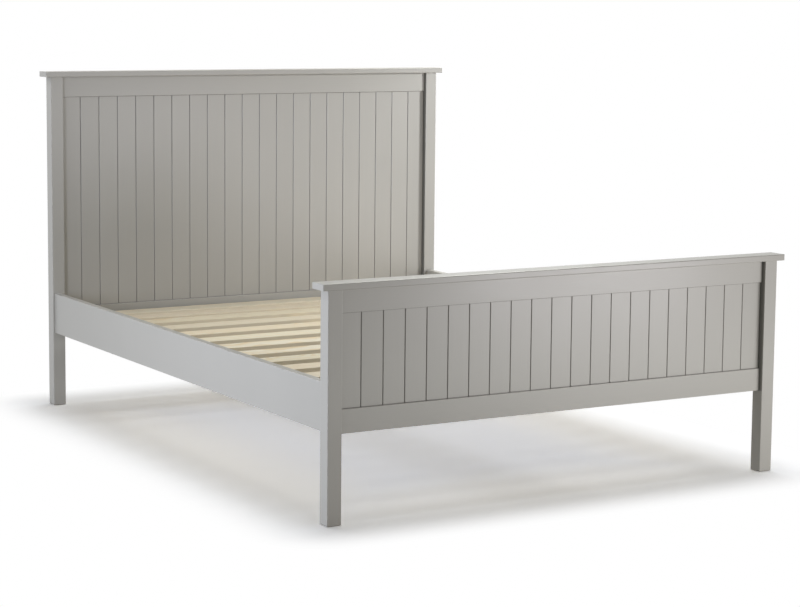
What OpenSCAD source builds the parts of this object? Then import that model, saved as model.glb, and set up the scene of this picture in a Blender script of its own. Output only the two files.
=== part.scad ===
// Painted wooden bed frame: a tall headboard and a low footboard of tongue-and-groove
// boards, two side rails bolted between them, and loose pine slats.
// X runs across the bed, Y from the footboard to the headboard, and Z up.
// The origin is on the floor under the middle of the bed. Sizes are in millimetres.

/* [Mattress space] */
// Width of the mattress that the bed takes
mattress_w = 1500; // [1200:10:1600]
// Length of the mattress that the bed takes
mattress_l = 2000; // [1900:10:2100]
// Gap between the mattress and each side rail
mattress_side_gap = 2; // [1:0.5:10]
// Gap between the mattress and the frame of each end board
mattress_end_gap = 6.5; // [2:0.5:20]
// Depth from the top of a side rail down to the top of the slats
mattress_recess = 75; // [50:1:85]

/* [Posts] */
// Width and depth of a square post
post_w = 45; // [40:1:60]
// Height of the headboard over its cap
head_h = 1180; // [900:5:1400]
// Height of the footboard over its cap
foot_h = 678; // [560:2:800]
// Radius along the upright corners of a post
post_ease = 2; // [0.5:0.5:4]
// Bevel round the bottom of a post, where it stands on the floor
post_bevel = 3; // [1:0.5:6]

/* [Caps] */
// Thickness of a cap
cap_t = 19; // [16:1:30]
// How far a cap passes the outer side of a post
cap_end_overhang = 21; // [5:1:40]
// How far a cap stands out from the front and the back of a post
cap_face_overhang = 10; // [3:1:20]
// Radius along the edges of a cap
cap_ease = 2.5; // [0.5:0.5:5]

/* [End frames] */
// Thickness of the rails that frame the boards
frame_t = 19; // [18:1:28]
// How far these rails lie behind the mattress side of a post
frame_inset = 11; // [7:0.5:12]
// Height of the bottom rails' lower edge over the floor
low_rail_z = 255; // [180:1:280]
// Height of the headboard's top rail
head_top_rail_h = 70; // [50:1:100]
// Height of the headboard's bottom rail
head_low_rail_h = 93; // [60:1:140]
// Height of the footboard's top rail
foot_top_rail_h = 67; // [50:1:100]
// Height of the footboard's bottom rail
foot_low_rail_h = 69; // [60:1:100]
// Radius along the edges of these rails
frame_ease = 1.2; // [0.4:0.1:2]

/* [Boards] */
// Number of boards across an end board
board_count = 21; // [11:1:27]
// Thickness of a board
board_t = 9; // [8:0.5:10]
// How far the boards lie behind the face of their rails
board_setback = 6; // [2:0.5:7]
// Width of the bevel on each long edge of a board, half of the V groove
vee = 1.7; // [0.8:0.1:2.5]
// Gap left between two boards at the bottom of the V groove
board_gap = 0.6; // [0.2:0.1:1.2]
// Thickness of a tongue
tongue_t = 3; // [2:0.25:3.5]
// How far a tongue reaches into the next board
tongue_l = 5; // [3:0.5:8]
// How far the outermost boards reach into the posts
board_edge_in = 6; // [3:0.5:9]
// How far a board reaches into its top and bottom rail
board_end_in = 7; // [4:0.5:12]

/* [Side rails] */
// Thickness of a side rail
side_rail_t = 25; // [24:1:32]
// Height of a side rail
side_rail_h = 140; // [130:1:180]
// Height of a side rail's lower edge over the floor
side_rail_z = 260; // [200:1:300]
// How far a side rail lies inside the outer face of the posts
side_rail_inset = 7; // [2:1:12]
// Radius along the edges of a side rail
side_rail_ease = 2; // [0.5:0.5:4]

/* [Slat supports] */
// Width of the ledger along each side rail
ledger_w = 30; // [24:1:40]
// Height of a ledger
ledger_h = 30; // [24:1:36]
// Gap between the end of a ledger and a post
ledger_end_gap = 3; // [1:0.5:20]
// Width of the centre rail
centre_rail_w = 40; // [30:1:60]
// Height of the centre rail
centre_rail_h = 50; // [40:1:70]
// Sheet thickness of the hangers that hold the centre rail
hanger_t = 2; // [2:0.5:3]
// How far a hanger reaches under the centre rail
hanger_reach = 30; // [20:1:60]
// Width of the two wings that screw a hanger to its rail
hanger_wing = 18; // [14:1:30]
// How far the top of a hanger stays below the slats
hanger_drop = 4; // [1:0.5:10]

/* [Slats] */
// Width of a slat
slat_w = 84; // [60:1:95]
// Thickness of a slat
slat_t = 18; // [12:0.5:24]
// Spacing of the first three slats at the headboard, which lie closer than the rest
head_slat_pitch = 127; // [100:1:150]
// Gap between a slat's end and the side rail
slat_end_gap = 2; // [0.5:0.5:6]
// Gap between the outermost slats and the posts
slat_post_gap = 1.5; // [0.5:0.5:10]
// Radius along the edges of slats, ledgers and centre rail
slat_ease = 1.5; // [0.5:0.5:4]

/* [Glued joints] */
// Length of the tenons on the frame rails
tenon_l = 15; // [10:1:18]
// Thickness of these tenons
tenon_t = 10; // [6:0.5:12]
// Shoulder above and below a tenon
tenon_shoulder = 16; // [16:0.5:20]
// Extra depth behind a tenon for glue
glue_gap = 1; // [0.5:0.5:2]
// Play on each side of a glued or sliding fit
fit = 0.1; // [0.05:0.05:0.2]
// Diameter of the wooden dowels
dowel_d = 8; // [6:0.5:10]
// How far a dowel reaches into the post below a cap
cap_dowel_down = 14; // [10:0.5:15]
// How far a dowel reaches up into a cap
cap_dowel_up = 11; // [8:0.5:12]
// Distance of the outer dowels of a cap's rail from the middle of the bed
cap_dowel_x = 450; // [200:10:550]

/* [Bolted corner joints] */
// How far dowels and inserts go into a post
corner_depth = 13; // [11:0.5:13.5]
// How far the dowels go into a side rail
corner_dowel_in = 22; // [15:1:35]
// Distance between the two dowels of a corner, one above the other
corner_dowel_spread = 90; // [60:1:100]
// Diameter of the stud
stud_d = 8; // [6:1:8]
// Play round the stud where it passes through the side rail
stud_play = 0.5; // [0.2:0.1:1]
// Distance of the stud from the inner face of the side rail
stud_offset = 10.5; // [9.5:0.5:12]
// Outer diameter of the threaded insert in the post
insert_d = 11; // [10:0.5:13]
// How far the insert is sunk below the face of the post
insert_sink = 0.5; // [0:0.1:1]
// Radius of the round pocket in the side rail
pocket_r = 20; // [18:0.5:25]
// Distance from the end of the side rail to the middle of this pocket
pocket_in = 60; // [50:1:90]
// Distance from the middle of the pocket to the flat of the half-moon washer
washer_flat = 10; // [9:0.5:12]
// Width of the half-moon washer, across the rail's thickness
washer_w = 15; // [12:0.5:16]
// Size of the nut across its flats
nut_af = 13; // [12:0.5:14]
// Thickness of the nut
nut_t = 6.5; // [5:0.5:8]
// How far the stud passes the nut
stud_past = 3; // [1:0.5:5]
// Play round the nut and the washer, down to the floor of the pocket
pocket_play = 1; // [0.5:0.5:1.5]

/* [Wood screws] */
// Shank diameter of the wood screws
screw_d = 4; // [3:0.5:5]
// Head diameter of the wood screws
screw_head_d = 8; // [7:0.5:9]
// Length of a screw that holds a slat
slat_screw_l = 35; // [28:1:40]
// Length of a screw that holds a ledger
ledger_screw_l = 42; // [36:1:48]
// Length of a screw that holds a hanger
hanger_screw_l = 16; // [12:1:18]
// Height of the pointed end of a screw
screw_tip = 4; // [2:0.5:6]

/* [Hidden] */

paint = [0.66, 0.65, 0.62];
pine = [0.87, 0.81, 0.68];
beech = [0.80, 0.66, 0.47];
steel = [0.74, 0.75, 0.76];

slat_count = 14;        // one node each
close_slats = 2;        // gaps at the headboard that use the closer spacing
arc_steps = 3;          // facets along a quarter-round edge
bore_fn = 32;
screw_fn = 20;
over = 1;               // how far a cut passes the face that it opens

// Plan: half widths across the bed
clear_x = mattress_w / 2 + mattress_side_gap;       // inner face of a side rail
rail_out_x = clear_x + side_rail_t;                 // outer face of a side rail
post_out_x = rail_out_x + side_rail_inset;
post_in_x = post_out_x - post_w;
post_mid_x = post_out_x - post_w / 2;
stud_x = clear_x + stud_offset;
corner_dowel_x = clear_x + side_rail_t / 2;
ledger_mid_x = clear_x - ledger_w / 2;

// Plan: half lengths along the bed
frame_in_y = mattress_l / 2 + mattress_end_gap;     // mattress side of the end frames
post_in_y = frame_in_y - frame_inset;
post_out_y = post_in_y + post_w;

// Heights
head_post_h = head_h - cap_t;
foot_post_h = foot_h - cap_t;
slat_top_z = side_rail_z + side_rail_h - mattress_recess;
slat_low_z = slat_top_z - slat_t;
ledger_z = slat_low_z - ledger_h;
centre_z = slat_low_z - centre_rail_h;
corner_z = side_rail_z + side_rail_h / 2;

// Boards
opening_w = 2 * post_in_x;
board_pitch = opening_w / board_count;
board_w = board_pitch - board_gap;

// Corner hardware
pocket_y = post_in_y - pocket_in;
nut_y = pocket_y + washer_flat - nut_t;
nut_r = nut_af / 2 / cos(30);
pocket_depth = stud_offset + max(nut_r, washer_w / 2) + pocket_play;

// Slats, counted from the headboard
slat_first_y = post_in_y - slat_post_gap - slat_w / 2;
slat_even_y = slat_first_y - close_slats * head_slat_pitch;
slat_pitch = (slat_even_y + slat_first_y) / (slat_count - 1 - close_slats);
function slat_y(i) =
    i <= close_slats ? slat_first_y - i * head_slat_pitch
                     : slat_even_y - (i - close_slats) * slat_pitch;
// Ledger screws stand in every second gap between slats
ledger_screw_ys = [for (i = [0 : 2 : slat_count - 2]) (slat_y(i) + slat_y(i + 1)) / 2];
hanger_screw_zs = [for (s = [-1, 1]) (centre_z + slat_low_z - hanger_drop) / 2 + s * centre_rail_h / 4];
hanger_screw_x = centre_rail_w / 2 + fit + hanger_t + hanger_wing / 2;

// Outline of a rectangle with quarter-round corners, from the origin to [w, h]
function eased_rect(w, h, r) = [
    for (c = [[w - r, h - r, 0], [r, h - r, 90], [r, r, 180], [w - r, r, 270]])
        for (i = [0 : arc_steps])
            [c[0], c[1]] + r * [cos(c[2] + 90 * i / arc_steps), sin(c[2] + 90 * i / arc_steps)]
];

// Extrusions along X and along Y of an outline drawn as seen with Z up
module along_x(length) rotate([90, 0, 90]) linear_extrude(length) children();
module along_y(length) translate([0, length, 0]) rotate([90, 0, 0]) linear_extrude(length) children();

// Bar along X, centred on the bed's middle, from [y, z] to [y + w, z + h]
module bar_x(length, y, z, w, h, r)
    translate([-length / 2, y, z]) along_x(length) polygon(eased_rect(w, h, r));

// Repeats its children, drawn for the right side, on the left side only or on both
module on_left() mirror([1, 0, 0]) children();
module both_sides() {
    children();
    on_left() children();
}
// Repeats its children, drawn for the headboard end, at the footboard end too
module at_foot() mirror([0, 1, 0]) children();
module both_ends() {
    children();
    at_foot() children();
}

// Corner joint, drawn for the right side at the headboard
module round_y(r, y0, y1, x, z)
    translate([x, y0, z]) rotate([-90, 0, 0]) cylinder(r = r, h = y1 - y0, $fn = bore_fn);

module at_corner_dowels()
    for (s = [-1, 1]) translate([corner_dowel_x, 0, corner_z + s * corner_dowel_spread / 2]) children();

// Holes of one corner in its post, for the threaded insert and the two dowels
module corner_post_cut() {
    round_y(insert_d / 2 + fit, post_in_y - over, post_in_y + corner_depth, stud_x, corner_z);
    at_corner_dowels()
        round_y(dowel_d / 2 + fit, post_in_y - over, post_in_y + corner_depth, 0, 0);
}

// Holes of one corner in its side rail, with the round pocket for the nut and its washer
module corner_rail_cut() {
    round_y(stud_d / 2 + stud_play, pocket_y, post_in_y + over, stud_x, corner_z);
    at_corner_dowels()
        round_y(dowel_d / 2 + fit, post_in_y - corner_dowel_in - glue_gap, post_in_y + over, 0, 0);
    translate([clear_x - over, pocket_y, corner_z])
        rotate([0, 90, 0]) cylinder(r = pocket_r, h = pocket_depth + over, $fn = 2 * bore_fn);
}

// Posts
// Upright with eased corners and a bevelled foot, from the origin to [post_w, post_w, h]
module post_blank(h) {
    side = [
        [post_bevel, 0], [post_w - post_bevel, 0], [post_w, post_bevel],
        [post_w, h], [0, h], [0, post_bevel]
    ];
    intersection() {
        linear_extrude(h) polygon(eased_rect(post_w, post_w, post_ease));
        along_y(post_w) polygon(side);
        along_x(post_w) polygon(side);
    }
}

// Mortise for the tenon of a frame rail whose lower edge is at z
module mortise(frame_y, z, rail_h)
    translate([post_in_x - over, frame_y + (frame_t - tenon_t) / 2 - fit, z + tenon_shoulder - fit])
        cube([over + tenon_l + glue_gap, tenon_t + 2 * fit, rail_h - 2 * tenon_shoulder + 2 * fit]);

// Groove that takes the edge of the outermost board between two heights
module post_groove(frame_y, z0, z1) {
    past = board_end_in + glue_gap;
    translate([post_in_x - over, frame_y + board_setback - fit, z0 - past])
        cube([over + board_edge_in + glue_gap, board_t + 2 * fit, z1 - z0 + 2 * past]);
}

// Post on the right: y is its front face and frame_y the front face of the frame rails
module end_post(y, frame_y, h, low_h, top_h) difference() {
    translate([post_in_x, y, 0]) post_blank(h);
    mortise(frame_y, low_rail_z, low_h);
    mortise(frame_y, h - top_h, top_h);
    post_groove(frame_y, low_rail_z + low_h, h - top_h);
    translate([post_mid_x, y + post_w / 2, h - cap_dowel_down - glue_gap])
        cylinder(r = dowel_d / 2 + fit, h = cap_dowel_down + glue_gap + over, $fn = bore_fn);
}

module head_post() difference() {
    end_post(post_in_y, frame_in_y, head_post_h, head_low_rail_h, head_top_rail_h);
    corner_post_cut();
}

module foot_post() difference() {
    end_post(-post_out_y, -frame_in_y - frame_t, foot_post_h, foot_low_rail_h, foot_top_rail_h);
    at_foot() corner_post_cut();
}

// Frame rails
// Rail between two posts with a tenon at each end and the boards' groove in one edge
module frame_rail(y, z, h, groove_up) {
    tenon_h = h - 2 * tenon_shoulder;
    groove_d = board_end_in + glue_gap;
    difference() {
        union() {
            bar_x(opening_w, y, z, frame_t, h, frame_ease);
            translate([-post_in_x - tenon_l, y + (frame_t - tenon_t) / 2, z + tenon_shoulder])
                cube([opening_w + 2 * tenon_l, tenon_t, tenon_h]);
        }
        translate([-post_in_x - over, y + board_setback - fit, groove_up ? z + h - groove_d : z - over])
            cube([opening_w + 2 * over, board_t + 2 * fit, groove_d + over]);
    }
}

// Places a cap's dowels: one in each post, and three in the top rail
module at_cap_dowels(post_y, rail_y) {
    for (s = [-1, 1]) translate([s * post_mid_x, post_y, 0]) children();
    for (i = [-1 : 1]) translate([i * cap_dowel_x, rail_y, 0]) children();
}

module cap_dowel_holes(post_y, rail_y, z) {
    down = cap_dowel_down + glue_gap;
    up = cap_dowel_up + glue_gap;
    at_cap_dowels(post_y, rail_y)
        translate([0, 0, z - down]) cylinder(r = dowel_d / 2 + fit, h = down + up, $fn = bore_fn);
}

module cap_dowels(post_y, rail_y, z)
    at_cap_dowels(post_y, rail_y)
        translate([0, 0, z - cap_dowel_down])
            cylinder(d = dowel_d, h = cap_dowel_down + cap_dowel_up, $fn = bore_fn);

// Boards
// Cross-section of a board seen from above, face at y = 0. A groove on the left and a
// tongue on the right; the first and last board have a plain edge that enters the post.
function board_outline(first, last) = let (
    t0 = (board_t - tongue_t) / 2,
    t1 = (board_t + tongue_t) / 2,
    g0 = t0 - fit,
    g1 = t1 + fit,
    gd = tongue_l - board_gap + glue_gap,
    edge = board_gap / 2 + board_edge_in,
    left = first
        ? [[-edge, board_t], [-edge, 0]]
        : [[0, board_t], [0, g1], [gd, g1], [gd, g0], [0, g0], [0, vee], [vee, 0]],
    right = last
        ? [[board_w + edge, 0], [board_w + edge, board_t]]
        : [[board_w - vee, 0], [board_w, vee], [board_w, t0], [board_w + tongue_l, t0],
           [board_w + tongue_l, t1], [board_w, t1], [board_w, board_t]]
) concat(left, right);

// Row of boards behind the face of the frame rails, standing in the bottom rail's groove
module board_row(frame_y, z0, z1)
    translate([board_gap / 2 - post_in_x, frame_y + board_setback, z0 - board_end_in - glue_gap])
        for (i = [0 : board_count - 1]) translate([i * board_pitch, 0, 0])
            linear_extrude(z1 - z0 + 2 * board_end_in + glue_gap)
                polygon(board_outline(i == 0, i == board_count - 1));

// Caps
module cap(y, z) {
    w = 2 * (post_out_x + cap_end_overhang);
    d = post_w + 2 * cap_face_overhang;
    translate([-w / 2, y, z]) intersection() {
        along_x(w) polygon(eased_rect(d, cap_t, cap_ease));
        along_y(d) polygon(eased_rect(w, cap_t, cap_ease));
        linear_extrude(cap_t) polygon(eased_rect(w, d, cap_ease));
    }
}

// Screws
// Countersunk wood screw with its head's face at the origin, pointing down
module wood_screw(l, play = 0, lift = 0)
    rotate_extrude($fn = screw_fn) polygon([
        [0, lift],
        [screw_head_d / 2 + play, lift],
        [screw_head_d / 2 + play, 0],
        [screw_d / 2 + play, -(screw_head_d - screw_d) / 2],
        [screw_d / 2 + play, -l + screw_tip],
        [0, -l - play]
    ]);
module screw_hole(l) wood_screw(l, fit, over);

module at_slat_screws(i)
    for (s = [-1, 1]) translate([s * ledger_mid_x, slat_y(i), slat_top_z]) children();
module at_ledger_screws()
    for (y = ledger_screw_ys)
        translate([clear_x - ledger_w, y, ledger_z + ledger_h / 2]) rotate([0, -90, 0]) children();
module at_hanger_screws()
    for (s = [-1, 1]) for (z = hanger_screw_zs)
        translate([s * hanger_screw_x, frame_in_y - hanger_t, z]) rotate([90, 0, 0]) children();

// Side rails and ledgers, drawn for the right side
module side_rail() difference() {
    translate([clear_x, -post_in_y, side_rail_z])
        along_y(2 * post_in_y) polygon(eased_rect(side_rail_t, side_rail_h, side_rail_ease));
    both_ends() corner_rail_cut();
    at_ledger_screws() screw_hole(ledger_screw_l);
}

module ledger() difference() {
    translate([clear_x - ledger_w, -post_in_y + ledger_end_gap, ledger_z])
        along_y(2 * (post_in_y - ledger_end_gap)) polygon(eased_rect(ledger_w, ledger_h, slat_ease));
    at_ledger_screws() screw_hole(ledger_screw_l);
    for (i = [0 : slat_count - 1]) at_slat_screws(i) screw_hole(slat_screw_l);
}

// Bent sheet hanger at the headboard: a U that carries the rail, with a back and two wings
module hanger() {
    half_in = centre_rail_w / 2 + fit;
    half_out = half_in + hanger_t;
    top = slat_low_z - hanger_drop;
    back = frame_in_y - hanger_t;
    difference() {
        union() {
            translate([-half_out - hanger_wing, back, centre_z - hanger_t])
                cube([2 * (half_out + hanger_wing), hanger_t, top - centre_z + hanger_t]);
            translate([-half_out, back - hanger_reach, centre_z - hanger_t])
                cube([2 * half_out, hanger_reach + hanger_t / 2, top - centre_z + hanger_t]);
        }
        translate([-half_in, back - hanger_reach - over, centre_z])
            cube([2 * half_in, hanger_reach + over, top - centre_z + over]);
        at_hanger_screws() screw_hole(hanger_screw_l);
    }
}

// Headboard
module head_post_left() color(paint) on_left() head_post();
module head_post_right() color(paint) head_post();
module head_top_rail() color(paint) difference() {
    frame_rail(frame_in_y, head_post_h - head_top_rail_h, head_top_rail_h, false);
    cap_dowel_holes(post_in_y + post_w / 2, frame_in_y + frame_t / 2, head_post_h);
}
module head_bottom_rail() color(paint) difference() {
    frame_rail(frame_in_y, low_rail_z, head_low_rail_h, true);
    at_hanger_screws() screw_hole(hanger_screw_l);
}
module head_boards() color(paint)
    board_row(frame_in_y, low_rail_z + head_low_rail_h, head_post_h - head_top_rail_h);
module head_cap() color(paint) difference() {
    cap(post_in_y - cap_face_overhang, head_post_h);
    cap_dowel_holes(post_in_y + post_w / 2, frame_in_y + frame_t / 2, head_post_h);
}
module head_cap_dowels() color(beech)
    cap_dowels(post_in_y + post_w / 2, frame_in_y + frame_t / 2, head_post_h);

// Footboard
module foot_post_left() color(paint) on_left() foot_post();
module foot_post_right() color(paint) foot_post();
module foot_top_rail() color(paint) difference() {
    frame_rail(-frame_in_y - frame_t, foot_post_h - foot_top_rail_h, foot_top_rail_h, false);
    cap_dowel_holes(-post_in_y - post_w / 2, -frame_in_y - frame_t / 2, foot_post_h);
}
module foot_bottom_rail() color(paint) difference() {
    frame_rail(-frame_in_y - frame_t, low_rail_z, foot_low_rail_h, true);
    at_foot() at_hanger_screws() screw_hole(hanger_screw_l);
}
module foot_boards() color(paint)
    board_row(-frame_in_y - frame_t, low_rail_z + foot_low_rail_h, foot_post_h - foot_top_rail_h);
module foot_cap() color(paint) difference() {
    cap(-post_out_y - cap_face_overhang, foot_post_h);
    cap_dowel_holes(-post_in_y - post_w / 2, -frame_in_y - frame_t / 2, foot_post_h);
}
module foot_cap_dowels() color(beech)
    cap_dowels(-post_in_y - post_w / 2, -frame_in_y - frame_t / 2, foot_post_h);

// Side rails and their corner joints
module side_rail_left() color(paint) on_left() side_rail();
module side_rail_right() color(paint) side_rail();
module corner_dowels() color(beech) both_sides() both_ends() at_corner_dowels()
    round_y(dowel_d / 2, post_in_y - corner_dowel_in, post_in_y + corner_depth - glue_gap, 0, 0);
module corner_inserts() color(steel) both_sides() both_ends() difference() {
    round_y(insert_d / 2, post_in_y + insert_sink, post_in_y + corner_depth, stud_x, corner_z);
    round_y(stud_d / 2 + fit, post_in_y - over, post_in_y + corner_depth + over, stud_x, corner_z);
}
module corner_studs() color(steel) both_sides() both_ends()
    round_y(stud_d / 2, nut_y - stud_past, post_in_y + corner_depth - glue_gap, stud_x, corner_z);
module corner_washers() color(steel) both_sides() both_ends() difference() {
    translate([stud_x - washer_w / 2, pocket_y, corner_z]) along_x(washer_w) intersection() {
        circle(r = pocket_r - fit, $fn = 2 * bore_fn);
        translate([washer_flat, -pocket_r]) square([pocket_r, 2 * pocket_r]);
    }
    round_y(stud_d / 2 + fit, pocket_y, post_in_y, stud_x, corner_z);
}
module corner_nuts() color(steel) both_sides() both_ends() difference() {
    translate([stud_x, nut_y, corner_z]) rotate([-90, 0, 0]) cylinder(r = nut_r, h = nut_t, $fn = 6);
    round_y(stud_d / 2 + fit, nut_y - over, nut_y + nut_t + over, stud_x, corner_z);
}

// Slat supports
module ledger_left() color(pine) on_left() ledger();
module ledger_right() color(pine) ledger();
module ledger_screws() color(steel) both_sides() at_ledger_screws() wood_screw(ledger_screw_l);
module centre_rail() color(pine) {
    half_l = frame_in_y - hanger_t - fit;
    translate([-centre_rail_w / 2, -half_l, centre_z])
        along_y(2 * half_l) polygon(eased_rect(centre_rail_w, centre_rail_h, slat_ease));
}
module hanger_head() color(steel) hanger();
module hanger_foot() color(steel) at_foot() hanger();
module hanger_screws() color(steel) both_ends() at_hanger_screws() wood_screw(hanger_screw_l);

// Slats, numbered from the headboard
module slat(i) color(pine) difference() {
    bar_x(2 * (clear_x - slat_end_gap), slat_y(i) - slat_w / 2, slat_low_z, slat_w, slat_t, slat_ease);
    at_slat_screws(i) screw_hole(slat_screw_l);
}
module slat_screws() color(steel)
    for (i = [0 : slat_count - 1]) at_slat_screws(i) wood_screw(slat_screw_l);

head_post_left();
head_post_right();
head_top_rail();
head_bottom_rail();
head_boards();
head_cap();
head_cap_dowels();
foot_post_left();
foot_post_right();
foot_top_rail();
foot_bottom_rail();
foot_boards();
foot_cap();
foot_cap_dowels();
side_rail_left();
side_rail_right();
corner_dowels();
corner_inserts();
corner_studs();
corner_washers();
corner_nuts();
ledger_left();
ledger_right();
ledger_screws();
centre_rail();
hanger_head();
hanger_foot();
hanger_screws();
slat(0);  // slat_01
slat(1);  // slat_02
slat(2);  // slat_03
slat(3);  // slat_04
slat(4);  // slat_05
slat(5);  // slat_06
slat(6);  // slat_07
slat(7);  // slat_08
slat(8);  // slat_09
slat(9);  // slat_10
slat(10);  // slat_11
slat(11);  // slat_12
slat(12);  // slat_13
slat(13);  // slat_14
slat_screws();
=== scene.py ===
import math

import bmesh
import bpy
from bpy.props import FloatProperty, FloatVectorProperty, PointerProperty
from mathutils import Matrix, Vector


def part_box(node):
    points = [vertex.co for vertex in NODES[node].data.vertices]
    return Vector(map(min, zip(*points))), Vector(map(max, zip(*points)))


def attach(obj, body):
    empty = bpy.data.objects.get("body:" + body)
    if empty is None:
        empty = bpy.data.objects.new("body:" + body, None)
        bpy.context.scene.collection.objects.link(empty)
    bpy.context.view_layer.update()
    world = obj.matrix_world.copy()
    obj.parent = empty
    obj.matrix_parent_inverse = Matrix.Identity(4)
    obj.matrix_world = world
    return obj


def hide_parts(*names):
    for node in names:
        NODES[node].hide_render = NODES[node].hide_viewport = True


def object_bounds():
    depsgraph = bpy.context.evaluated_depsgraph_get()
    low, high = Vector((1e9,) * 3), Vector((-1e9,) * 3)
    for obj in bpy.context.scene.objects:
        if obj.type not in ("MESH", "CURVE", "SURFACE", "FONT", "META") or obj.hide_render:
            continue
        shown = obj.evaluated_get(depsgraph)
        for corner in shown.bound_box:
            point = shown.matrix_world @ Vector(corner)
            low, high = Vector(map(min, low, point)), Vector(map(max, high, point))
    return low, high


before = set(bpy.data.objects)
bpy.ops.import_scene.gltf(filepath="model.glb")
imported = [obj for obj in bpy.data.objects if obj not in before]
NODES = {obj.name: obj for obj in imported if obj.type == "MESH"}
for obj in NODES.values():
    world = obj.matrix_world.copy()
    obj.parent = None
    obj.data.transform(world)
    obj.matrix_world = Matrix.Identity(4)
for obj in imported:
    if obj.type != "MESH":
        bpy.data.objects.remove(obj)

bl_info = {
    "name": "Painted bed frame",
    "version": (1, 0, 0),
    "blender": (4, 5, 0),
    "location": "View3D > Sidebar > Bed frame",
    "description": "Finishes a painted bed frame with pine slats and sets it in a studio",
    "category": "Object",
}

CAD_LOW, CAD_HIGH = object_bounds()
BODY = "root"

SIDE_RAILS = ("side_rail_left", "side_rail_right")
SLATS = tuple(sorted(name for name in NODES if name.startswith("slat_") and name != "slat_screws"))
LEDGERS = ("ledger_left", "ledger_right", "centre_rail")
DOWELS = ("head_cap_dowels", "foot_cap_dowels", "corner_dowels")
SHEET_METAL = ("hanger_head", "hanger_foot", "corner_washers", "corner_inserts")
BOARD_COUNT = 21
BOARD_REACH = 0.006         # how far the outermost boards enter the posts

# Colour sockets of the Mix node, by number because several of its sockets share a name
MIX_FACTOR, MIX_A, MIX_B = 0, 6, 7
MIX_RESULT = 2


class Wire:
    """A value in a finish. Sums and products of wires add their Math nodes."""

    def __init__(self, finish, socket):
        self.finish = finish
        self.socket = socket

    def _math(self, operation, a, b=None):
        return self.finish.math(operation, a, b)

    def __add__(self, other):
        return self._math("ADD", self, other)

    def __radd__(self, other):
        return self._math("ADD", other, self)

    def __sub__(self, other):
        return self._math("SUBTRACT", self, other)

    def __rsub__(self, other):
        return self._math("SUBTRACT", other, self)

    def __mul__(self, other):
        return self._math("MULTIPLY", self, other)

    def __rmul__(self, other):
        return self._math("MULTIPLY", other, self)

    def __truediv__(self, other):
        return self._math("DIVIDE", self, other)

    def __rtruediv__(self, other):
        return self._math("DIVIDE", other, self)

    def __pow__(self, other):
        return self._math("POWER", self, other)

    def __rpow__(self, other):
        return self._math("POWER", other, self)


class Finish:
    """The node tree of a material or a world, built up node by node."""

    def __init__(self, owner):
        owner.use_nodes = True
        self.owner = owner
        self.tree = owner.node_tree
        self.tree.nodes.clear()

    def node(self, kind, settings=None, sockets=None, output=0):
        """Adds a node: its settings first, then the values or links of its sockets."""
        made = self.tree.nodes.new("ShaderNode" + kind)
        for key, value in (settings or {}).items():
            if key == "stops":
                ramp = made.color_ramp
                while len(ramp.elements) < len(value):
                    ramp.elements.new(0.5)
                for element, (position, colour) in zip(ramp.elements, value):
                    element.position = position
                    element.color = (*colour, 1.0)
            else:
                setattr(made, key, value)
        for key, value in (sockets or {}).items():
            if isinstance(value, Wire):
                self.tree.links.new(value.socket, made.inputs[key])
            else:
                made.inputs[key].default_value = value
        return None if output is None else Wire(self, made.outputs[output])

    def math(self, operation, a, b=None, clamp=False):
        sockets = {0: a} if b is None else {0: a, 1: b}
        return self.node("Math", {"operation": operation, "use_clamp": clamp}, sockets)

    def step(self, value, low, high):
        """0 below low and 1 above high, smooth between them."""
        return self.node(
            "MapRange", {"interpolation_type": "SMOOTHSTEP"},
            {"Value": value, "From Min": low, "From Max": high},
        )

    def mix(self, factor, a, b, blend="MIX"):
        """A colour between a and b."""
        a, b = (c if isinstance(c, Wire) else (*c, 1.0) for c in (a, b))
        return self.node(
            "Mix", {"data_type": "RGBA", "blend_type": blend},
            {MIX_FACTOR: factor, MIX_A: a, MIX_B: b}, output=MIX_RESULT,
        )

    def tinted(self, colour, tint):
        """A colour multiplied by another."""
        return self.mix(1.0, colour, tint, "MULTIPLY")

    def grey(self, value):
        """A colour of three equal parts, for a value that may pass 1."""
        return self.node("CombineXYZ", sockets={0: value, 1: value, 2: value})

    def parts(self, vector):
        """The three parts of a vector."""
        split = self.node("SeparateXYZ", sockets={0: vector})
        return [Wire(self, split.socket.node.outputs[i]) for i in range(3)]

    def place(self):
        """The point in the bed's own frame, in metres, and its three parts."""
        point = self.node("TexCoord", output="Object")
        return point, self.parts(point)

    def stretch(self, point, scale):
        return self.node("VectorMath", {"operation": "MULTIPLY"}, {0: point, 1: scale})

    def shift(self, point, offset):
        return self.node("VectorMath", {"operation": "ADD"}, {0: point, 1: offset})

    def noise(self, point, scale=1.0, detail=2.0, rough=0.5):
        return self.node(
            "TexNoise", {"noise_dimensions": "3D"},
            {"Vector": point, "Scale": scale, "Detail": detail, "Roughness": rough},
        )

    def chance(self, number):
        """A random number from 0 to 1 for each number given."""
        return self.node("TexWhiteNoise", {"noise_dimensions": "1D"}, {"W": number})

    def seen(self, *rays):
        """1 for the kinds of ray named, such as Camera, and 0 for others."""
        kinds = [self.node("LightPath", output="Is " + ray + " Ray") for ray in rays]
        seen = kinds[0]
        for kind in kinds[1:]:
            seen = self.math("MAXIMUM", seen, kind)
        return seen

    def bump(self, height, strength, distance):
        sockets = {"Height": height, "Strength": strength, "Distance": distance}
        return self.node("Bump", sockets=sockets)

    def surface(self, **sockets):
        """Ends a material with a Principled surface; underscores stand for spaces."""
        named = {key.replace("_", " "): value for key, value in sockets.items()}
        shader = self.node("BsdfPrincipled", sockets=named)
        self.node("OutputMaterial", sockets={"Surface": shader}, output=None)
        return self.owner


def linear(srgb):
    """A colour as it reads on screen, turned to the scene's linear values."""
    return tuple(c / 12.92 if c <= 0.04045 else ((c + 0.055) / 1.055) ** 2.4 for c in srgb)


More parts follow.
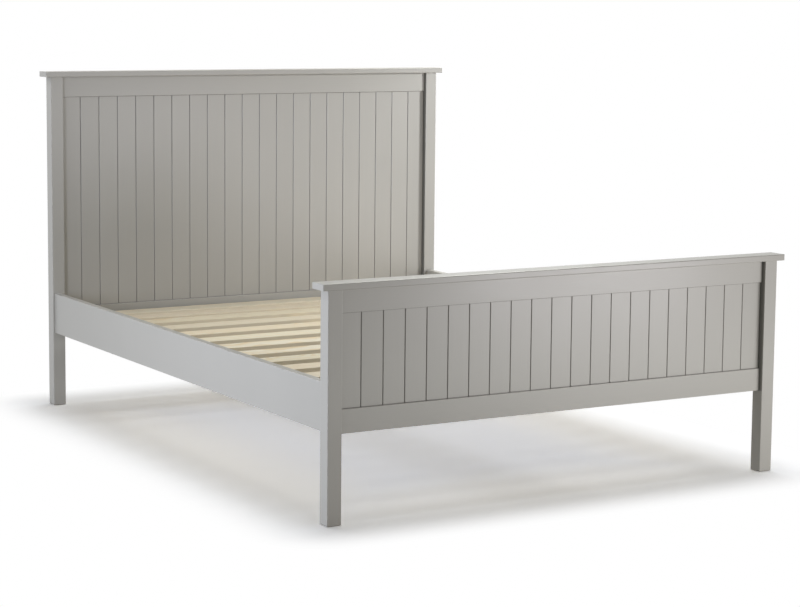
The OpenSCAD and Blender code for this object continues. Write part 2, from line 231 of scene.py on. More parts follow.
class BEDFRAME_PG_paint(bpy.types.PropertyGroup):
    colour: FloatVectorProperty(
        name="Paint", description="Colour of the paint", subtype="COLOR",
        size=3, min=0.0, max=1.0, default=linear((0.655, 0.643, 0.612)),
    )
    roughness: FloatProperty(
        name="Roughness", description="Roughness of the satin paint",
        subtype="FACTOR", min=0.05, max=1.0, default=0.32,
    )
    brush_depth: FloatProperty(
        name="Brush marks", description="Depth of the brush marks in the paint",
        unit="LENGTH", min=0.0, max=0.001, default=0.00012,
    )
    tone: FloatProperty(
        name="Tone", description="How far the tone varies over a piece",
        subtype="FACTOR", min=0.0, max=0.3, default=0.05,
    )
    # Painted shade: how much the paint is darkened in the grooves between boards
    groove_shade: FloatProperty(
        name="Grooves", description="How much the paint darkens in the grooves between boards",
        subtype="FACTOR", min=0.0, max=1.0, default=0.35,
    )
    # Painted shade with a dark joint line: how much the paint darkens where boards meet a rail
    joint_line_and_shade: FloatProperty(
        name="Joints", description="How much the paint darkens where boards meet a rail",
        subtype="FACTOR", min=0.0, max=1.0, default=0.5,
    )
    # Painted shade: how much the paint is darkened in the corners between a panel and its posts
    corner: FloatProperty(
        name="Corners",
        description="How much the paint darkens in the corners between a panel and its posts",
        subtype="FACTOR", min=0.0, max=1.0, default=0.6,
    )


class BEDFRAME_PG_pine(bpy.types.PropertyGroup):
    early: FloatVectorProperty(
        name="Early wood", description="Colour between the rings", subtype="COLOR",
        size=3, min=0.0, max=1.0, default=linear((0.870, 0.835, 0.760)),
    )
    late: FloatVectorProperty(
        name="Late wood", description="Colour of the rings", subtype="COLOR",
        size=3, min=0.0, max=1.0, default=linear((0.835, 0.735, 0.560)),
    )
    knot: FloatVectorProperty(
        name="Knots", description="Colour of the knots", subtype="COLOR",
        size=3, min=0.0, max=1.0, default=linear((0.560, 0.400, 0.240)),
    )
    ring: FloatProperty(
        name="Ring width", description="Distance between two growth rings",
        unit="LENGTH", min=0.001, max=0.02, default=0.0042,
    )
    # Painted light together with the plain look of sawn wood: the narrow faces fade to this paler
    # colour
    sawn_and_lit: FloatVectorProperty(
        name="Sawn edges", description="Colour that the narrow sawn edges fade to", subtype="COLOR",
        size=3, min=0.0, max=1.0, default=linear((0.955, 0.905, 0.800)),
    )
    fade: FloatProperty(
        name="Edge fade", description="How far the narrow edges fade to the colour of sawn wood",
        subtype="FACTOR", min=0.0, max=1.0, default=0.6,
    )
    end_grain: FloatProperty(
        name="End grain", description="How much darker the cut ends are",
        subtype="FACTOR", min=0.0, max=1.0, default=0.25,
    )


class BEDFRAME_PG_fixings(bpy.types.PropertyGroup):
    zinc: FloatVectorProperty(
        name="Zinc", description="Colour of the plated steel", subtype="COLOR",
        size=3, min=0.0, max=1.0, default=linear((0.80, 0.80, 0.79)),
    )
    beech: FloatVectorProperty(
        name="Beech", description="Colour of the dowels", subtype="COLOR",
        size=3, min=0.0, max=1.0, default=linear((0.80, 0.66, 0.47)),
    )


class BEDFRAME_PG_stage(bpy.types.PropertyGroup):
    lens: FloatProperty(
        name="Lens", description="Focal length of the camera, in millimetres",
        unit="CAMERA", min=20.0, max=300.0, default=99.3,
    )
    camera_at: FloatVectorProperty(
        name="Camera", description="Where the camera stands",
        subtype="TRANSLATION", unit="LENGTH", size=3, default=(-3.616, -6.270, 1.466),
    )
    turn: FloatProperty(
        name="Turn", description="Turn of the camera from the Y axis towards the X axis",
        subtype="ANGLE", default=math.radians(30.309),
    )
    tilt: FloatProperty(
        name="Tilt", description="Upward tilt of the camera",
        subtype="ANGLE", default=math.radians(-7.175),
    )
    roll: FloatProperty(
        name="Roll", description="Roll of the camera", subtype="ANGLE", default=math.radians(0.551),
    )
    rise: FloatProperty(
        name="Rise", description="Vertical shift of the lens, as a share of the picture's width",
        min=-0.5, max=0.5, default=-0.0419,
    )
    floor: FloatVectorProperty(
        name="Floor", description="Colour of the floor and the backdrop", subtype="COLOR",
        size=3, min=0.0, max=1.0, default=(0.80, 0.80, 0.80),
    )
    lift: FloatProperty(
        name="Lift", description="How bright the floor reads to the camera and in gloss",
        min=0.5, max=4.0, default=1.65,
    )
    # Painted light: a cool tint of the floor under the bed that offsets the warm light the slats
    # throw on it
    under: FloatVectorProperty(
        name="Under the bed",
        description="Tint of the floor in the light that the slats throw on it",
        subtype="COLOR", size=3, min=0.0, max=1.0, default=(0.84, 0.875, 0.965),
    )
    pool: FloatProperty(
        name="Shadow pool", description="How far the shadow on the floor reaches past the bed",
        unit="LENGTH", min=0.05, max=3.0, default=0.24,
    )
    fill: FloatProperty(
        name="Fill", description="Strength of the even light from all round",
        min=0.0, max=2.0, default=0.20,
    )
    fill_colour: FloatVectorProperty(
        name="Fill colour", description="Colour of the even light", subtype="COLOR",
        size=3, min=0.0, max=1.0, default=(1.0, 1.0, 1.0),
    )


def edge_distance(finish, parts, low, high):
    """How far a point on the face of a straight piece is from the nearest edge of that face."""
    reach = []
    for axis in range(3):
        middle = (low[axis] + high[axis]) / 2
        half = (high[axis] - low[axis]) / 2
        spot = finish.math("ABSOLUTE", parts[axis]) if axis == 0 else parts[axis]
        reach.append(half - finish.math("ABSOLUTE", spot - middle))
    a, b, c = reach
    nearer = finish.math("MINIMUM", a, b)
    further = finish.math("MAXIMUM", a, b)
    return finish.math("MAXIMUM", nearer, finish.math("MINIMUM", further, c))


# Mask of the painted shade in the corners between a panel and its posts
def corner_shade(finish, parts, post, rail=None):
    """1 in the corners between a panel and its posts: on the panel, or with a rail on the posts."""
    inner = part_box(post)[0].x
    out = finish.math("ABSOLUTE", parts[0])
    if rail is None:
        return 1.0 - finish.step(inner - out, 0.0004, 0.0040)
    low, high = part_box(rail)
    off_panel = finish.math("MAXIMUM", low.y - parts[1], parts[1] - high.y)
    near_panel = 1.0 - finish.step(off_panel, 0.004, 0.020)
    inside = 1.0 - finish.step(out, inner + 0.0005, inner + 0.0015)
    above_leg = finish.step(parts[2], low.z - 0.002, low.z + 0.002)
    return near_panel * inside * above_leg


def paint_finish(name, paint, grain, pieces, rails=(), corner=()):
    """Satin paint brushed on along the axis grain (0, 1 or 2), over planed wood.

    The finish of boards is given the rails below and above them. The finish of a piece that
    meets the posts is given a post, and that of the posts a post and a rail."""
    finish = Finish(bpy.data.materials.new(name))
    point, parts = finish.place()
    along = [1.0, 1.0, 1.0]
    along[grain] = 0.03
    streak_point = finish.stretch(point, along)
    strokes = finish.noise(streak_point, 420.0, 3.0, 0.6)
    pores = finish.noise(streak_point, 1500.0, 2.0, 0.5)
    cloud = finish.noise(point, 3.2, 3.0, 0.55)
    peel = finish.noise(point, 650.0, 2.0, 0.5)
    tone = (cloud - 0.5) * (2.0 * paint.tone) + (strokes - 0.5) * 0.05 + 1.0
    height = strokes * 0.6 + pores * 0.25 + peel * 0.25
    if rails:
        low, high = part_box(pieces[0])
        pitch = (high.x - low.x - 2 * BOARD_REACH) / BOARD_COUNT
        board = (parts[0] - (low.x + BOARD_REACH)) / pitch
        tone = tone + (finish.chance(finish.math("FLOOR", board)) - 0.5) * 0.03
        across = finish.math("PINGPONG", board, 0.5) * pitch
        # painted shade darkens the paint in the grooves between boards
        groove_shade = (1.0 - finish.step(across, 0.0004, 0.0024)) * paint.groove_shade
        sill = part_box(rails[0])[1].z
        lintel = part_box(rails[1])[0].z
        off_rail = finish.math("MINIMUM", parts[2] - sill, lintel - parts[2])
        # painted shade with a dark joint line where the boards meet a rail
        joint_line_and_shade = (1.0 - finish.step(off_rail, 0.0004, 0.0030)) * paint.joint_line_and_shade
        tone = tone - finish.math("MAXIMUM", groove_shade, joint_line_and_shade)
    else:
        low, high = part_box(pieces[0])
        if len(pieces) > 1:     # a left and a right piece share one finish
            low.x, high.x = sorted((abs(low.x), abs(high.x)))
        edge = edge_distance(finish, parts, low, high)
        rub = 1.0 - finish.step(edge + (strokes - 0.5) * 0.003, 0.0004, 0.0034)
        tone = tone + rub * 0.06
    # painted shade darkens the paint in the corners by the posts
    if corner:
        tone = tone * (1.0 - corner_shade(finish, parts, *corner) * paint.corner)
    colour = finish.tinted(paint.colour, finish.grey(tone))
    roughness = (cloud - 0.5) * 0.10 + (strokes - 0.5) * 0.12 + paint.roughness
    normal = finish.bump(height, 0.35, paint.brush_depth)
    return finish.surface(
        Base_Color=colour, Roughness=roughness, Normal=normal, IOR=1.48, Specular_IOR_Level=0.5,
    )


def pine_finish(name, pine, grain, tint=0.5):
    """Planed pine: growth rings round a pith that runs along the axis grain, with knots.

    tint is how far one piece may be warmer or greener than the next."""
    finish = Finish(bpy.data.materials.new(name))
    point, parts = finish.place()
    index = finish.node("ObjectInfo", output="Object Index")
    across, deep = [parts[i] for i in range(3) if i != grain]
    chance = [finish.chance(index * 3.17 + k * 11.3) for k in range(5)]
    away = finish.node("CombineXYZ", sockets={i: chance[i] * 9.0 for i in range(3)})
    seat = finish.shift(point, away)
    wander = finish.noise(finish.stretch(seat, (2.2, 2.2, 2.2)), 1.0, 2.0, 0.5)
    knot_scale = [11.0, 11.0, 11.0]
    knot_scale[grain] = 3.0
    knot = finish.node(
        "TexVoronoi", {"voronoi_dimensions": "3D", "feature": "F1"},
        {"Vector": finish.stretch(seat, knot_scale), "Scale": 1.0, "Randomness": 1.0},
    )
    eye = 1.0 - finish.step(knot, 0.05, 0.13)
    swirl = 1.0 - finish.step(knot, 0.08, 0.42)
    pith_a = (chance[3] - 0.5) * 0.09
    pith_b = chance[4] * 0.05 + 0.015
    a = across - pith_a
    b = deep + pith_b
    radius = (a * a * 0.35 + b * b * 2.2) ** 0.5
    field = radius + (wander - 0.5) * 0.034 + swirl * 0.010
    rings = finish.math("FRACT", field / pine.ring)
    late = finish.step(rings, 0.35, 0.92) * (1.0 - finish.step(rings, 0.93, 1.0))
    fibre_scale = [700.0, 700.0, 700.0]
    fibre_scale[grain] = 9.0
    fibre = finish.noise(finish.stretch(seat, fibre_scale), 1.0, 3.0, 0.6)
    body = finish.mix(late * 0.75, pine.early, pine.late)
    warm = finish.mix(chance[1] * tint, body, finish.tinted(body, (1.0, 0.93, 0.84)))
    green = finish.mix(chance[2] * tint, warm, finish.tinted(warm, (0.95, 1.0, 0.93)))
    streak = finish.noise(finish.stretch(seat, [k / 12.0 for k in fibre_scale]), 1.0, 2.0, 0.5)
    aged = finish.mix(finish.step(streak, 0.52, 0.75) * 0.30, green, pine.late)
    knotted = finish.mix(eye * 0.85, aged, pine.knot)
    # painted light: the narrow faces are made paler, as if lit more, and their rings weaker as on
    # sawn wood
    facing = finish.parts(finish.node("TexCoord", output="Normal"))
    faces = [finish.math("ABSOLUTE", part) for part in facing]
    flank = faces[1] if grain == 0 else faces[0]
    lit_flanks = finish.mix(flank * pine.fade, knotted, pine.sawn_and_lit)
    tone = (fibre - 0.5) * 0.16 + (chance[0] - 0.5) * 0.10 + 1.0 - faces[grain] * pine.end_grain
    colour = finish.tinted(lit_flanks, finish.grey(tone))
    roughness = 0.52 + (fibre - 0.5) * 0.16 - late * 0.06
    normal = finish.bump(fibre * 0.6 + late * 0.5, 0.4, 0.00025)
    return finish.surface(
        Base_Color=colour, Roughness=roughness, Normal=normal, IOR=1.45, Specular_IOR_Level=0.5,
    )


def zinc_finish(name, fixings):
    """Zinc-plated steel with the faint mottling of the plating."""
    finish = Finish(bpy.data.materials.new(name))
    point, _ = finish.place()
    mottle = finish.noise(point, 300.0, 3.0, 0.6)
    fine = finish.noise(point, 2200.0, 2.0, 0.5)
    tone = (mottle - 0.5) * 0.18 + 1.0
    colour = finish.tinted(fixings.zinc, finish.grey(tone))
    return finish.surface(
        Base_Color=colour, Metallic=1.0, Roughness=0.34 + (mottle - 0.5) * 0.2,
        Normal=finish.bump(fine, 0.2, 0.00005),
    )


def beech_finish(name, fixings):
    """Beech with its short dark flecks."""
    finish = Finish(bpy.data.materials.new(name))
    point, _ = finish.place()
    flecks = finish.noise(point, 900.0, 3.0, 0.6)
    colour = finish.mix(flecks, fixings.beech, [0.75 * c for c in fixings.beech])
    return finish.surface(
        Base_Color=colour, Roughness=0.55 + flecks * 0.15, Normal=finish.bump(flecks, 0.3, 0.0001),
    )


def give(names, material, seeds=False):
    """Sets one finish on CAD nodes; seeds gives each its own grain."""
    for number, name in enumerate(names):
        piece = NODES[name]
        piece.data.materials.clear()
        piece.data.materials.append(material)
        if seeds:
            piece.pass_index = number + 1


def paint_end(paint, end):
    """Paints one end of the bed, with the brush along each piece."""
    posts = (end + "_post_left", end + "_post_right")
    boards = (end + "_boards",)
    rails = (end + "_bottom_rail", end + "_top_rail")
    # boards and rails get painted shade beside the posts, and the posts get it above the leg
    beside = (posts[1],)
    over_leg = (posts[1], rails[0])
    give(posts, paint_finish("paint_" + end + "_posts", paint, 2, posts, corner=over_leg))
    give(boards, paint_finish("paint_" + end + "_boards", paint, 2, boards, rails, beside))
    for rail in rails:
        give((rail,), paint_finish("paint_" + rail, paint, 0, (rail,), corner=beside))
    cap = (end + "_cap",)
    give(cap, paint_finish("paint_" + cap[0], paint, 0, cap))


class BEDFRAME_OT_headboard(bpy.types.Operator):
    """Paint the headboard: posts, rails, boards and cap"""

    bl_idname = "bedframe.headboard"
    bl_label = "Paint the headboard"

    def execute(self, context):
        paint_end(context.scene.bed_paint, "head")
        return {"FINISHED"}


class BEDFRAME_OT_footboard(bpy.types.Operator):
    """Paint the footboard: posts, rails, boards and cap"""

    bl_idname = "bedframe.footboard"
    bl_label = "Paint the footboard"

    def execute(self, context):
        paint_end(context.scene.bed_paint, "foot")
        return {"FINISHED"}


class BEDFRAME_OT_side_rails(bpy.types.Operator):
    """Paint the two side rails"""

    bl_idname = "bedframe.side_rails"
    bl_label = "Paint the side rails"

    def execute(self, context):
        give(SIDE_RAILS, paint_finish("paint_side_rails", context.scene.bed_paint, 1, SIDE_RAILS))
        return {"FINISHED"}


class BEDFRAME_OT_slats(bpy.types.Operator):
    """Give the slats, the ledgers and the centre rail their pine"""

    bl_idname = "bedframe.slats"
    bl_label = "Finish the slats"

    def execute(self, context):
        pine = context.scene.bed_pine
        give(SLATS, pine_finish("pine_slats", pine, 0), seeds=True)
        give(LEDGERS, pine_finish("pine_ledgers", pine, 1), seeds=True)
        return {"FINISHED"}


# Fixings, in metres; the steps are the sides of a full turn
WOOD_PITCH = 0.0018         # thread pitch of the wood screws
WOOD_SHANK = 0.004          # their diameter
WOOD_STEPS = 12
HEAD_STEPS = 24
STUD_PITCH = 0.00125
STUD_CHAMFER = 0.0006
STUD_STEPS = 20
NUT_BORE = 0.0041           # radius of a nut's hole
NUT_LEAD = 0.0005           # chamfer at the ends of that hole
NUT_STEPS = 48
THREAD_ROOT = 0.42          # half the width of a thread's root, in pitches
THREAD_CREST = 0.05         # half the width of its crest
SOFT_EDGE = math.radians(32.0)      # flatter edges shade smooth


class Shape:
    """Points and faces of one piece, gathered from several closed solids."""

    def __init__(self):
        self.points = []
        self.faces = []

    def add(self, points, faces, where):
        """Adds one solid, moved by the matrix where."""
        start = len(self.points)
        self.points += [where @ Vector(p) for p in points]
        self.faces += [tuple(start + i for i in face) for face in faces]

    def piece(self, name, node, slot, material):
        """Makes the object that stands for a CAD node."""
        mesh = bpy.data.meshes.new(name)
        mesh.from_pydata([tuple(p) for p in self.points], [], self.faces)
        mesh.materials.append(material)
        for face in mesh.polygons:
            face.use_smooth = True
        mesh.set_sharp_from_angle(angle=SOFT_EDGE)
        made = bpy.data.objects.new(name, mesh)
        bpy.context.scene.collection.objects.link(made)
        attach(made, BODY)
        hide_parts(node)


def turned(profile, steps):
    """A closed solid turned about Z from (radius, height) pairs; it starts and ends on the axis."""
    points, faces = [(0.0, 0.0, profile[0][1])], []
    for radius, height in profile[1:-1]:
        for k in range(steps):
            angle = math.tau * k / steps
            points.append((radius * math.cos(angle), radius * math.sin(angle), height))
    points.append((0.0, 0.0, profile[-1][1]))
    rings = len(profile) - 2
    for k in range(steps):
        after = (k + 1) % steps
        faces.append((0, 1 + after, 1 + k))
        for ring in range(rings - 1):
            a, b = 1 + ring * steps, 1 + (ring + 1) * steps
            faces.append((a + k, a + after, b + after, b + k))
        last = 1 + (rings - 1) * steps
        faces.append((last + k, last + after, len(points) - 1))
    return points, faces


def thread_ridge(core, crest, pitch, top, bottom, steps, taper=0.0):
    """The closed ridge of a thread down the Z axis; taper is the length that thins to a tip."""
    count = int((top - bottom) / pitch * steps)
    points, faces = [], []
    for k in range(count + 1):
        angle = math.tau * k / steps
        height = top - pitch * k / steps
        shrink = 1.0 if taper <= 0.0 else min(1.0, max(0.12, (height - bottom) / taper))
        ends = min(1.0, k / steps * 2.0, (count - k) / steps * 2.0 + 0.05)
        inner = core * 0.85 * shrink
        outer = inner + (crest * shrink - inner) * max(ends, 0.05)
        for radius, rise in (
            (inner, THREAD_ROOT), (outer, THREAD_CREST),
            (outer, -THREAD_CREST), (inner, -THREAD_ROOT),
        ):
            level = height + rise * pitch * shrink
            points.append((radius * math.cos(angle), -radius * math.sin(angle), level))
    for k in range(count):
        a, b = 4 * k, 4 * k + 4
        for i in range(4):
            j = (i + 1) % 4
            faces.append((a + i, b + i, b + j, a + j))
    faces.append((0, 1, 2, 3))
    faces.append((4 * count + 3, 4 * count + 2, 4 * count + 1, 4 * count))
    return points, faces


def recess_head(radius, shank, arm, width, depth):
    """Countersunk head with its face at the origin and a cross recess sunk into it."""
    bm = bmesh.new()
    turns = [math.tau * k / HEAD_STEPS for k in range(HEAD_STEPS)]
    rim = 0.06 * radius
    rings = [
        (radius - rim, 0.0), (radius, -rim), (radius, -2.2 * rim),
        (shank, -(radius - shank) - rim), (shank, -(radius - shank) - 4 * rim),
    ]
    loops = [
        [bm.verts.new((r * math.cos(angle), r * math.sin(angle), z)) for angle in turns]
        for r, z in rings
    ]
    for upper, lower in zip(loops, loops[1:]):
        for k in range(HEAD_STEPS):
            j = (k + 1) % HEAD_STEPS
            bm.faces.new((upper[k], lower[k], lower[j], upper[j]))
    bm.faces.new(reversed(loops[-1]))
    half = width / 2
    outline = []
    for turn in range(4):
        angle = math.pi / 2 * turn
        c, s = math.cos(angle), math.sin(angle)
        for x, y in ((arm, -half), (arm, half), (half, half)):
            outline.append((x * c - y * s, x * s + y * c))
    corners = len(outline)
    mouth = [bm.verts.new((x, y, 0.0)) for x, y in outline]
    sole = [bm.verts.new((x * 0.45, y * 0.6, -depth)) for x, y in outline]
    for k in range(corners):
        j = (k + 1) % corners
        bm.faces.new((mouth[k], mouth[j], sole[j], sole[k]))
    bm.faces.new(sole)
    bm.edges.ensure_lookup_table()
    rim_edges = [bm.edges.get((a, b)) for a, b in zip(loops[0], loops[0][1:] + loops[0][:1])]
    mouth_edges = [bm.edges.get((a, b)) for a, b in zip(mouth, mouth[1:] + mouth[:1])]
    bmesh.ops.triangle_fill(
        bm, use_beauty=True, edges=rim_edges + mouth_edges, normal=(0.0, 0.0, 1.0),
    )
    bmesh.ops.recalc_face_normals(bm, faces=bm.faces)
    bm.verts.index_update()
    points = [tuple(v.co) for v in bm.verts]
    faces = [tuple(v.index for v in f.verts) for f in bm.faces]
    bm.free()
    return points, faces


def add_wood_screw(shape, head_at, towards, length, head, shank, spin):
    """One countersunk wood screw with a cross recess and a thread."""
    radius, core = head / 2, shank / 2
    place = Matrix.Translation(head_at) @ towards.to_track_quat("-Z", "Y").to_matrix().to_4x4()
    place = place @ Matrix.Rotation(spin, 4, "Z")
    shape.add(*recess_head(
        radius, core * 0.78, arm=0.62 * radius, width=0.26 * radius, depth=0.42 * radius,
    ), place)
    neck = -(radius - core) - 0.25 * radius
    tip = -length
    slim = core * 0.70          # inside the thread
    shape.add(*turned([
        (0.0, neck + 0.0004), (slim, neck + 0.0004), (slim, tip + 0.004),
        (0.15 * slim, tip + 0.0006), (0.0, tip),
    ], WOOD_STEPS), place)
    shape.add(*thread_ridge(
        slim, core * 0.98, WOOD_PITCH, neck - 0.001, tip + 0.0012, WOOD_STEPS, taper=0.004,
    ), place)


def solids_of(node):
    """The box of each separate solid in a CAD node, as pairs of corners."""
    bm = bmesh.new()
    bm.from_mesh(NODES[node].data)
    bmesh.ops.remove_doubles(bm, verts=bm.verts, dist=1e-5)
    seen, boxes = set(), []
    for start in bm.verts:
        if start in seen:
            continue
        seen.add(start)
        found, edge = [start], [start]
        while edge:
            for link in edge.pop().link_edges:
                for vert in link.verts:
                    if vert not in seen:
                        seen.add(vert)
                        found.append(vert)
                        edge.append(vert)
        low = Vector([min(v.co[i] for v in found) for i in range(3)])
        high = Vector([max(v.co[i] for v in found) for i in range(3)])
        boxes.append((low, high))
    bm.free()
    return sorted(boxes, key=lambda box: tuple(round(c, 4) for c in box[0]))


def screw_set(node, axis, material, sign=None):
    """Detailed screws in place of a CAD node of plain ones. They point along axis, away from the
    bed's middle unless sign gives the way."""
    shape = Shape()
    for number, (low, high) in enumerate(solids_of(node)):
        middle = (low + high) / 2
        way = sign if sign is not None else math.copysign(1.0, middle[axis])
        towards = Vector((0.0, 0.0, 0.0))
        towards[axis] = way
        head_at = middle.copy()
        head_at[axis] = low[axis] if way > 0 else high[axis]
        other = (axis + 1) % 3
        length, head = high[axis] - low[axis], high[other] - low[other]
        spin = 0.7 * number * number    # no two recesses point the same way
        add_wood_screw(shape, head_at, towards, length, head, WOOD_SHANK, spin)
    shape.piece(node + "_detail", node, "steel", material)


def stud_set(node, material):
    """Threaded studs of the corner joints, with a chamfered end."""
    shape = Shape()
    for low, high in solids_of(node):
        radius = (high.x - low.x) / 2
        length = high.y - low.y
        place = Matrix.Translation(((low.x + high.x) / 2, low.y, (low.z + high.z) / 2))
        place = place @ Matrix.Rotation(math.pi / 2, 4, "X")
        core = radius * 0.86
        shape.add(*turned([
            (0.0, 0.0), (core * 0.75, 0.0), (core, -STUD_CHAMFER), (core, -length + STUD_CHAMFER),
            (core * 0.75, -length), (0.0, -length),
        ], STUD_STEPS), place)
        bare = 2 * STUD_CHAMFER         # without thread at either end
        shape.add(*thread_ridge(
            core, radius, STUD_PITCH, -bare, -length + bare, STUD_STEPS,
        ), place)
    shape.piece(node + "_detail", node, "steel", material)


def nut_set(node, material):
    """Hexagon nuts with chamfered corners and a chamfered hole."""
    shape = Shape()
    for low, high in solids_of(node):
        thick = high.y - low.y
        corner = (high.x - low.x) / 2
        flat = corner * math.cos(math.pi / 6)
        place = Matrix.Translation(((low.x + high.x) / 2, low.y, (low.z + high.z) / 2))
        place = place @ Matrix.Rotation(-math.pi / 2, 4, "X")
        face_r, mouth = flat * 0.96, NUT_BORE * 1.12    # of the flat ring on each side
        points, faces = [], []
        for k in range(NUT_STEPS):
            angle = math.tau * k / NUT_STEPS
            off = (angle + math.pi / 6) % (math.pi / 3) - math.pi / 6
            outer = flat / math.cos(math.pi / 6 - abs(off))
            drop = (outer - face_r) * math.tan(math.radians(30.0))
            row = (
                (NUT_BORE, NUT_LEAD), (mouth, 0.0), (face_r, 0.0), (outer, drop),
                (outer, thick - drop), (face_r, thick), (mouth, thick),
                (NUT_BORE, thick - NUT_LEAD),
            )
            points += [(r * math.cos(angle), r * math.sin(angle), z) for r, z in row]
            a, b = 8 * k, 8 * ((k + 1) % NUT_STEPS)
            for i in range(8):
                j = (i + 1) % 8
                faces.append((a + i, b + i, b + j, a + j))
        shape.add(points, faces, place)
    shape.piece(node + "_detail", node, "steel", material)


class BEDFRAME_OT_fixings(bpy.types.Operator):
    """Finish the dowels, studs, nuts, hangers and screws"""

    bl_idname = "bedframe.fixings"
    bl_label = "Finish the fixings"

    def execute(self, context):
        fixings = context.scene.bed_fixings
        zinc = zinc_finish("zinc", fixings)
        give(SHEET_METAL, zinc)
        screw_set("slat_screws", 2, zinc, sign=-1.0)
        screw_set("ledger_screws", 0, zinc)
        screw_set("hanger_screws", 1, zinc)
        stud_set("corner_studs", zinc)
        nut_set("corner_nuts", zinc)
        give(DOWELS, beech_finish("beech", fixings))
        return {"FINISHED"}


def softbox(name, at, aim, size, power, colour, lights, spread=180.0):
    """A rectangular lamp at one point that faces another. It lights only the bed or the floor."""
    lamp = bpy.data.lights.new(name, "AREA")
    lamp.shape = "RECTANGLE"
    lamp.size, lamp.size_y = size
    lamp.energy = power
    lamp.color = colour
    lamp.spread = math.radians(spread)
    holder = bpy.data.objects.new(name, lamp)
    holder.location = at
    holder.visible_camera = False
    holder.rotation_euler = (Vector(aim) - Vector(at)).to_track_quat("-Z", "Y").to_euler()
    bpy.context.scene.collection.objects.link(holder)
    lit = bpy.data.collections.new(name + "_lights_" + lights)
    lit.objects.link(bpy.data.objects["floor"])
    state = "INCLUDE" if lights == "floor" else "EXCLUDE"
    lit.collection_objects[0].light_linking.link_state = state
    holder.light_linking.receiver_collection = lit


# Each lamp: name, place, aim, size, watts, colour, what it lights and, where it is narrow, spread
LAMPS = (
    ("left_box", (-4.0, 0.6, 1.4), (-0.8, 0.3, 0.3),
     (1.6, 1.6), 26.6, (0.776, 0.876, 1.0), "bed"),
    ("left_near_box", (-2.6, -0.7, 0.8), (-0.8, -0.7, 0.35),
     (0.6, 0.8), 28.6, (0.773, 0.833, 1.0), "bed"),
    ("left_top_box", (-2.4, 0.8, 2.6), (-0.7, 0.3, 0.3),
     (1.5, 1.5), 27.8, (0.92, 0.93, 1.0), "bed"),
    ("front_box", (1.5, -3.2, 0.45), (0.2, -1.0, 0.5),
     (1.0, 0.6), 26.0, (0.981, 0.955, 1.0), "bed"),
    ("front_low_box", (0.8, -2.2, 0.12), (0.6, -1.0, 0.3),
     (2.0, 0.2), 3.8, (0.97, 1.0, 0.946), "bed"),
    ("right_box", (2.3, -0.4, 1.5), (0.6, 1.0, 0.8),
     (0.4, 0.4), 10.3, (0.948, 0.963, 1.0), "bed", 80.0),
    ("back_right_box", (1.8, 1.8, 3.2), (0.3, 0.0, 0.3),
     (1.5, 1.5), 84.0, (0.985, 1.0, 0.93), "bed"),
    ("floor_box", (0.5, 0.25, 3.4), (0.0, 0.0, 0.0),
     (3.6, 3.6), 88.0, (0.945, 0.965, 1.0), "floor"),
)
FLOOR_SIDE = 80.0
WHITE = (1.0, 1.0, 1.0, 1.0)


def studio_floor(stage):
    """A white floor that keeps the shadow near the bed and runs out to plain white."""
    mesh = bpy.data.meshes.new("floor")
    half = FLOOR_SIDE / 2
    corners = [(-half, -half, 0.0), (half, -half, 0.0), (half, half, 0.0), (-half, half, 0.0)]
    mesh.from_pydata(corners, [], [(0, 1, 2, 3)])
    floor = bpy.data.objects.new("floor", mesh)
    bpy.context.scene.collection.objects.link(floor)
    finish = Finish(bpy.data.materials.new("floor"))
    _, parts = finish.place()
    past = [
        finish.math("ABSOLUTE", part) - reach
        for part, reach in ((parts[0], CAD_HIGH.x), (parts[1], CAD_HIGH.y))
    ]
    beyond = [finish.math("MAXIMUM", part, 0.0) for part in past]
    away = (beyond[0] * beyond[0] + beyond[1] * beyond[1]) ** 0.5
    seen = finish.seen("Camera", "Glossy", "Transmission")
    far = finish.step(away, 0.0, stage.pool)
    within = 0.0 - finish.math("MAXIMUM", past[0], past[1])
    open_floor = [stage.lift] * 3
    # painted light: the floor under the bed takes a cool tint against the warm light from the slats
    under_bed = [stage.lift * part for part in stage.under]
    shown = finish.mix(finish.step(within, 0.05, 0.50), open_floor, under_bed)
    near = finish.node("BsdfDiffuse", sockets={"Color": finish.mix(seen, stage.floor, shown)})
    white = finish.node("Emission", sockets={"Color": WHITE, "Strength": 1.0})
    both = finish.node("MixShader", sockets={0: far * seen, 1: near, 2: white})
    finish.node("OutputMaterial", sockets={"Surface": both}, output=None)
    mesh.materials.append(finish.owner)


def studio_world(stage):
    """Plain white where the camera or a gloss looks past the floor, and a soft fill elsewhere."""
    world = bpy.data.worlds.new("studio")
    bpy.context.scene.world = world
    finish = Finish(world)
    seen = finish.seen("Camera", "Glossy", "Transmission")
    colour = (*stage.fill_colour, 1.0)
    fill = finish.node("Background", sockets={"Color": colour, "Strength": stage.fill})
    white = finish.node("Background", sockets={"Color": WHITE, "Strength": 1.0})
    both = finish.node("MixShader", sockets={0: seen, 1: fill, 2: white})
    finish.node("OutputWorld", sockets={"Surface": both}, output=None)


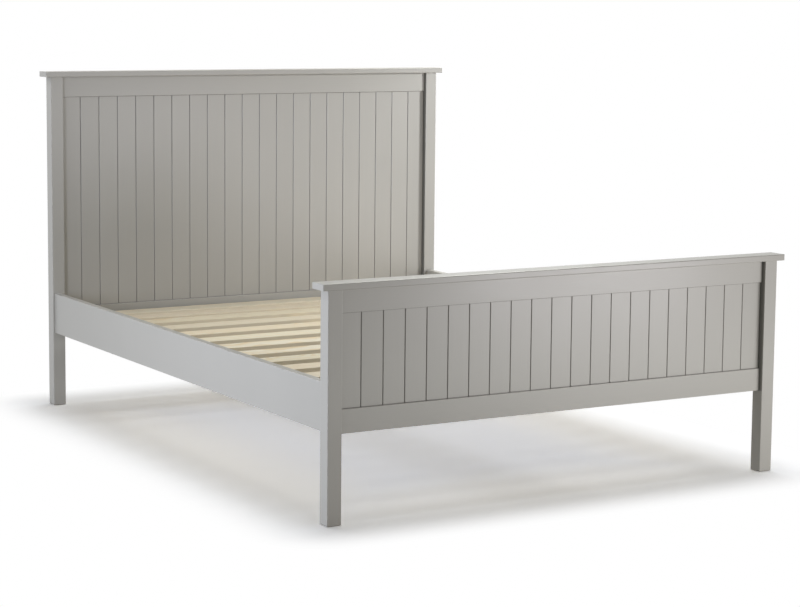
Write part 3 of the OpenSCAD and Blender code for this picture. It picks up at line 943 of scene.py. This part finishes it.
class BEDFRAME_OT_stage(bpy.types.Operator):
    """Set the floor, the studio light and the camera"""

    bl_idname = "bedframe.stage"
    bl_label = "Set the stage"

    def execute(self, context):
        scene = context.scene
        stage = scene.bed_stage
        scene.view_settings.view_transform = "Standard"
        studio_floor(stage)
        studio_world(stage)
        for lamp in LAMPS:
            softbox(*lamp)

        camera = bpy.data.cameras.new("camera")
        camera.lens = stage.lens
        camera.sensor_width = 36.0
        camera.shift_y = stage.rise
        camera.clip_end = 200.0
        holder = bpy.data.objects.new("camera", camera)
        forward = Vector((math.sin(stage.turn), math.cos(stage.turn), 0.0))
        right = Vector((math.cos(stage.turn), -math.sin(stage.turn), 0.0))
        ahead = forward * math.cos(stage.tilt) + Vector((0, 0, math.sin(stage.tilt)))
        up = Vector((0, 0, math.cos(stage.tilt))) - forward * math.sin(stage.tilt)
        side = right * math.cos(stage.roll) + up * math.sin(stage.roll)
        top = up * math.cos(stage.roll) - right * math.sin(stage.roll)
        pose = Matrix((side, top, -ahead)).transposed().to_4x4()
        pose.translation = Vector(stage.camera_at)
        holder.matrix_world = pose
        scene.collection.objects.link(holder)
        bpy.context.scene.camera = holder
        return {"FINISHED"}


class BEDFRAME_PT_panel(bpy.types.Panel):
    bl_label = "Bed frame"
    bl_idname = "BEDFRAME_PT_panel"
    bl_space_type = "VIEW_3D"
    bl_region_type = "UI"
    bl_category = "Bed frame"

    def draw(self, context):
        layout = self.layout
        for group in GROUPS:
            box = layout.box()
            settings = getattr(context.scene, group)
            for key in settings.__annotations__:
                box.prop(settings, key)
        for step in STEPS:
            layout.operator(step.bl_idname)


GROUPS = {
    "bed_paint": BEDFRAME_PG_paint,
    "bed_pine": BEDFRAME_PG_pine,
    "bed_fixings": BEDFRAME_PG_fixings,
    "bed_stage": BEDFRAME_PG_stage,
}
STEPS = (
    BEDFRAME_OT_headboard,
    BEDFRAME_OT_footboard,
    BEDFRAME_OT_side_rails,
    BEDFRAME_OT_slats,
    BEDFRAME_OT_fixings,
    BEDFRAME_OT_stage,
)


def register():
    for made in (*GROUPS.values(), *STEPS, BEDFRAME_PT_panel):
        bpy.utils.register_class(made)
    for name, group in GROUPS.items():
        setattr(bpy.types.Scene, name, PointerProperty(type=group))


def unregister():
    for name in GROUPS:
        delattr(bpy.types.Scene, name)
    for made in reversed((*GROUPS.values(), *STEPS, BEDFRAME_PT_panel)):
        bpy.utils.unregister_class(made)


def main():
    register()
    for step in STEPS:
        category, name = step.bl_idname.split(".")
        getattr(getattr(bpy.ops, category), name)()


if __name__ == "__main__":
    main()
